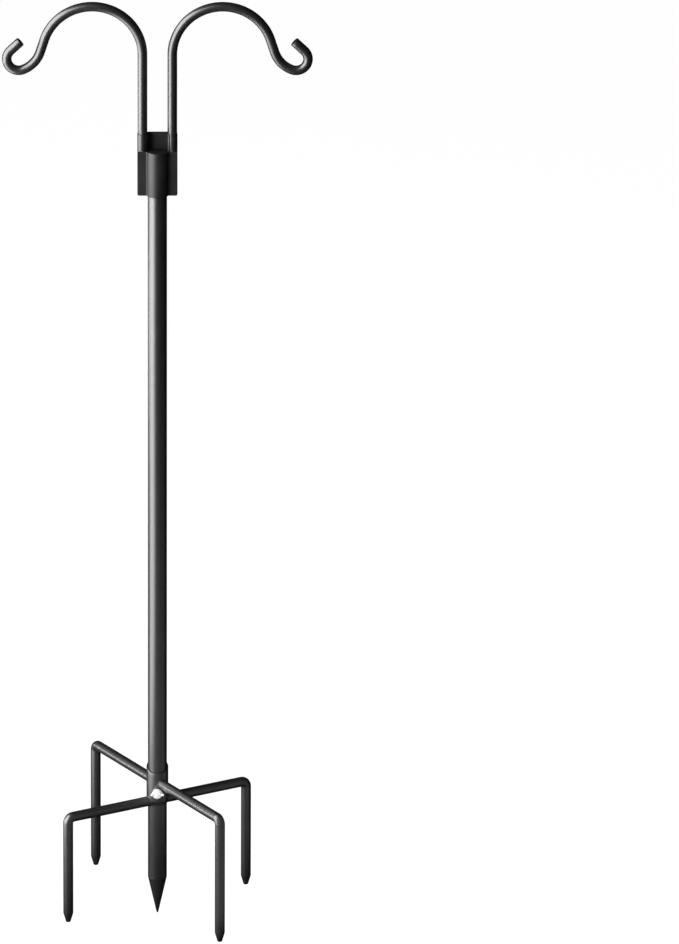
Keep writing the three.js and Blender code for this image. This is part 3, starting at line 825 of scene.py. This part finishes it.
def seam_weld(edge, foot):
    """A short upright bead between a hook's tube and the back plate, thin at both ends."""
    steps = 28
    a = math.pi / 2 - edge * math.radians(SEAM_TURN)
    out = Vector((math.cos(a), math.sin(a), 0))
    stations = []
    for k in range(steps + 1):
        t = k / steps
        swell = (SEAM_WELD_R - SEAM_WELD_END_R) * math.sqrt(1 - (2 * t - 1) ** 4)
        radius = SEAM_WELD_END_R + swell * (1 + 0.07 * math.sin(52 * t))
        centre = out * (HOOK_SOCKET_R + SEAM_WELD_LIFT) + Vector((0, 0, foot + SEAM_LENGTH * t))
        stations.append((centre, Vector((1, 0, 0)), Vector((0, 1, 0)), radius))
    return bead(stations)


def make_hook_socket(place, side):
    """A slit tube between the plates, with its welds. The two are the same tube turned half round."""
    shape = slit_tube(-side * math.pi / 2 - math.radians(SLIT_TURN))
    shape.shell(tack_weld())
    for edge in (LEFT, RIGHT):
        for foot in (BRACKET_Z + LOWER_SEAM_RISE, BACK_TOP_Z - UPPER_SEAM_DROP):
            shape.shell(seam_weld(edge, foot))
    shape.moved(lambda x, y, z: (x + side * HOOK_X, y + HOOK_Y, z))
    piece("hook_tube_" + place, shape, "bracket", "hook_socket_" + place, "powder_coat", finish="tube_coat")


def hexagon(a):
    """The distance from the nut's middle to its flats in a direction."""
    from_flat = (a + math.pi / 6) % (math.pi / 3) - math.pi / 6
    return NUT_FLATS / 2 / math.cos(from_flat)


def make_clamp_nut():
    """A hexagon nut, its corners turned off on the outer face, welded all round."""
    corner = NUT_FLATS / math.sqrt(3)
    rings = []
    for y, cut_back in ((NUT_FROM, 0.0), (NUT_TO - 0.9, 0.0), (NUT_TO - 0.35, 0.35), (NUT_TO, 0.95)):
        ring = []
        for a in angles(NUT_SIDES):
            r = min(hexagon(a), corner - cut_back)
            ring.append((r * math.cos(a), r * math.sin(a), y))
        rings.append(ring)
    for r, y in ((STUD_HOLE_R + 0.5, NUT_TO), (STUD_HOLE_R, NUT_TO - 0.5), (STUD_HOLE_R, NUT_FROM)):
        rings.append(circle(r, y, NUT_SIDES))
    shape = Shape().shell(rings, closed=True)
    foot, out_of_plate = Vector((0, 0, BACK_Y + BACK_T + NUT_WELD_LIFT)), Vector((0, 0, 1))
    stations = []
    for a in angles(84):
        out = Vector((math.cos(a), math.sin(a), 0))
        radius = NUT_WELD_R + 0.08 * math.sin(27 * a)
        stations.append((out * (hexagon(a) + 0.1) + foot, out, out_of_plate, radius))
    shape.shell(bead(stations), closed=True).moved(pointing(BACK, CLAMP_SCREW_Z))
    piece("clamp_weld_nut", shape, "bracket", "clamp_nut", "powder_coat", crease=25, finish="duller_coat")


# ---- hooks ----------------------------------------------------------------------------------------------
def make_hook(place, side):
    """A rod from its spigot up over the arch to the end of its curl, made to the right of its tube."""
    foot, chamfer, lip, shoulder, nose, end = 0.2, 0.8, 0.12, 0.3, 0.35, 0.15  # lengths of rounded edges
    path = (
        Path(0, SHOULDER_Z - SPIGOT_LENGTH, 90, SPIGOT_R - 1)
        .straight(foot, 1, SPIGOT_R - 0.75)
        .straight(chamfer, 1, SPIGOT_R)
        .straight(SPIGOT_LENGTH - foot - chamfer, 4)
        .thick(HOOK_R - 0.4)
        .straight(lip, 1, HOOK_R - 0.12)
        .straight(shoulder, 1, HOOK_R)
        .straight(SHANK - lip - shoulder, 8)
        .bend(ARCH_R, -ARCH_SWEEP, step=2.5)
        .straight(DROP, 2)
        .bend(NECK_R, NECK_SWEEP, step=3.5)
        .bend(CURL_R, CURL_SWEEP, step=4.5)
        .straight(CURL_END - nose - end, 3)
        .straight(nose, 1, HOOK_R - 0.18)
        .straight(end, 1, HOOK_R - 0.55)
    )
    shape = Shape().shell(path.rings(ROD_SIDES))
    shape.moved(lambda x, y, z: (side * (x + HOOK_X), y + HOOK_Y, z))
    piece("hook_rod_" + place, shape, place + "_hook", "hook_" + place, "powder_coat")


make_spike_tube()
make_spike_point()
make_prong("front_left", LOWER_PRONG_Z, LOWER_PRONG_REACH, PRONG_TURN + 180)
make_prong("back_right", LOWER_PRONG_Z, LOWER_PRONG_REACH, PRONG_TURN)
make_prong("front_right", UPPER_PRONG_Z, UPPER_PRONG_REACH, PRONG_TURN - 90)
make_prong("back_left", UPPER_PRONG_Z, UPPER_PRONG_REACH, PRONG_TURN + 90)
make_boss()
make_wing_screw(
    "socket_thumb_screw", "socket_wing_screw", "socket_screw", FRONT, SOCKET_SCREW_BASE, SOCKET_SCREW_Z
)
make_pole()
make_end_cap()
make_back_plate()
make_front_plate()
make_hook_socket("left", LEFT)
make_hook_socket("right", RIGHT)
make_clamp_nut()
make_wing_screw("clamp_thumb_screw", "clamp_wing_screw", "clamp_screw", BACK, CLAMP_SCREW_BASE, CLAMP_SCREW_Z)
make_hook("left", LEFT)
make_hook("right", RIGHT)


# ---- studio ---------------------------------------------------------------------------------------------
def seen_rays(tree):
    """1 for a ray that shows the room itself, directly, mirrored or through glass, and 0 for the others."""
    paths = tree.nodes.new("ShaderNodeLightPath").outputs
    direct = computed(tree, "MAXIMUM", paths["Is Camera Ray"], paths["Is Glossy Ray"])
    return computed(tree, "MAXIMUM", direct, paths["Is Transmission Ray"])


def make_world():
    """A white room to look at, and a dimmer one that lights the object."""
    world = bpy.data.worlds.new("studio")
    world.use_nodes = True
    bpy.context.scene.world = world
    tree = world.node_tree
    fill, white = tree.nodes["Background"], tree.nodes.new("ShaderNodeBackground")
    for node, strength in ((fill, ROOM_FILL), (white, 1.0)):
        node.inputs["Color"].default_value = (1, 1, 1, 1)
        node.inputs["Strength"].default_value = strength
    mix = tree.nodes.new("ShaderNodeMixShader")
    tree.links.new(seen_rays(tree), mix.inputs["Fac"])
    tree.links.new(fill.outputs[0], mix.inputs[1])
    tree.links.new(white.outputs[0], mix.inputs[2])
    tree.links.new(mix.outputs[0], tree.nodes["World Output"].inputs["Surface"])


def bare_material(name):
    """A material with nothing but its output."""
    material = bpy.data.materials.new(name)
    material.use_nodes = True
    tree = material.node_tree
    tree.nodes.clear()
    return material, tree, tree.nodes.new("ShaderNodeOutputMaterial").inputs["Surface"]


def card(name, material, size, centre):
    """A square that lies flat."""
    h = size / 2
    mesh = bpy.data.meshes.new(name)
    mesh.from_pydata([(-h, -h, 0), (h, -h, 0), (h, h, 0), (-h, h, 0)], [], [(0, 1, 2, 3)])
    mesh.materials.append(material)
    thing = linked(name, mesh)
    thing.location = centre
    return thing


def aimed(thing, direction):
    """Turns the object's own Z to a direction."""
    thing.rotation_mode = "QUATERNION"
    thing.rotation_quaternion = Vector(direction).to_track_quat("Z", "Y")


def only_reflected(thing):
    """Hides a card from all but reflections."""
    thing.visible_camera = False
    thing.visible_diffuse = False
    thing.visible_shadow = False
    thing.visible_transmission = False


def make_floor():
    """White where it is seen, with a share of real light in it, so that it keeps a soft shadow."""
    material, tree, surface = bare_material("pale_floor")
    paper = tree.nodes.new("ShaderNodeBsdfDiffuse")
    paper.inputs["Color"].default_value = FLOOR_COLOUR
    seen_paper = tree.nodes.new("ShaderNodeBsdfDiffuse")
    seen_paper.inputs["Color"].default_value = FLOOR_SHADE
    glow = tree.nodes.new("ShaderNodeEmission")
    glow.inputs["Strength"].default_value = FLOOR_GLOW
    both = tree.nodes.new("ShaderNodeAddShader")
    mix = tree.nodes.new("ShaderNodeMixShader")
    tree.links.new(seen_paper.outputs[0], both.inputs[0])
    tree.links.new(glow.outputs[0], both.inputs[1])
    tree.links.new(seen_rays(tree), mix.inputs["Fac"])
    tree.links.new(paper.outputs[0], mix.inputs[1])
    tree.links.new(both.outputs[0], mix.inputs[2])
    tree.links.new(mix.outputs[0], surface)
    card("floor", material, FLOOR_SIZE, (0, 0, FLOOR_Z))


def make_flag(name, centre, facing, size=FLAG_SIZE):
    """A dark card that only reflections see. It keeps the black coat black."""
    material, tree, surface = bare_material(name)
    glow = tree.nodes.new("ShaderNodeEmission")
    glow.inputs["Color"].default_value = (DARK, DARK, DARK, 1)
    tree.links.new(glow.outputs[0], surface)
    flag = card(name, material, size, centre)
    aimed(flag, facing)
    only_reflected(flag)


def make_band():
    """A glowing card that only reflections see, bent round the front and right, darker upwards: a painted
    reflection of the pale floor low down.
    """
    material, tree, surface = bare_material("painted_floor_reflection")
    split = tree.nodes.new("ShaderNodeSeparateXYZ")
    tree.links.new(tree.nodes.new("ShaderNodeTexCoord").outputs["Object"], split.inputs[0])
    lowness = remap(tree, split.outputs["Z"], 1.0, 0.0, from_low=FLOOR_Z, from_high=BAND_TOP_Z)
    fade = computed(tree, "POWER", lowness, BAND_FADE)
    glow = tree.nodes.new("ShaderNodeEmission")
    tree.links.new(remap(tree, fade, DARK, BAND_GREY, from_low=0, from_high=1), glow.inputs["Strength"])
    tree.links.new(glow.outputs[0], surface)
    points, faces = [], []
    for k in range(BAND_STEPS + 1):
        a = math.radians(BAND_FROM + BAND_SWEEP * k / BAND_STEPS)
        x, y = BAND_R * math.sin(a), -BAND_R * math.cos(a)
        points += [(x, y, BAND_LOW_Z), (x, y, BAND_TOP_Z)]
        if k:
            faces.append((2 * k - 2, 2 * k, 2 * k + 1, 2 * k - 1))
    mesh = bpy.data.meshes.new("band")
    mesh.from_pydata(points, [], faces)
    mesh.materials.append(material)
    only_reflected(linked("band", mesh))


def make_lamp(name, centre, target, width, height, radiance):
    data = bpy.data.lights.new(name, "AREA")
    data.shape = "RECTANGLE"
    data.size, data.size_y = width, height
    data.energy = radiance * math.pi * width * height
    lamp = linked(name, data)
    lamp.location = centre
    aimed(lamp, Vector(centre) - Vector(target))
    lamp.visible_camera = False


make_world()
make_floor()
make_flag("flag_below", (0, 0, FLAG_Z), (0, 0, 1))
make_flag("flag_right", (3.2, 0, 1.5), (-1, 0, 0), SIDE_FLAG_SIZE)
make_flag("flag_left", (-5.5, 0, 1.5), (1, 0, 0))
make_flag("flag_back", (0, 4.5, 1.5), (0, -1, 0))
make_flag("flag_front", (0, -5.5, 1.5), (0, 1, 0))
make_flag("flag_above", (0, 0, 5.0), (0, 0, -1))
make_lamp("key_softbox", (-1.42, -0.56, 0.949), (0, 0, 0.4), width=2.25, height=2.44, radiance=5.1)
make_lamp("low_softbox", (-1.5, 0.64, 0.05), (0, 0, 0.02), width=0.6, height=0.22, radiance=6.5)
make_lamp(
    "bounce_from_floor", (-1.15, -0.5, LOW_LAMP_Z), (-1.15, -0.5, 1), width=1.5, height=1.3, radiance=3.2
)
make_band()


def make_camera():
    """From the front, 14 m away and 19.4 degrees above the stand, which is at the left of the picture. The
    camera turns about its own upright axis, so the pole stays vertical."""
    data = bpy.data.cameras.new("photo_view")
    data.sensor_width, data.sensor_fit = SENSOR, "AUTO"
    data.lens = SENSOR * FOCAL_LENGTH / PHOTO_HEIGHT
    data.clip_start, data.clip_end = CAMERA_NEAR, CAMERA_FAR
    camera = linked("photo_view", data)
    camera.location = CAMERA_PLACE
    tilt = Quaternion((1, 0, 0), math.pi / 2 - math.radians(CAMERA_PITCH))
    turn = Quaternion((0, 1, 0), -math.atan(POLE_OFFSET / FOCAL_LENGTH))
    camera.rotation_mode = "QUATERNION"
    camera.rotation_quaternion = tilt @ turn
    bpy.context.scene.camera = camera


make_camera()
bpy.context.scene.view_settings.view_transform = "Standard"
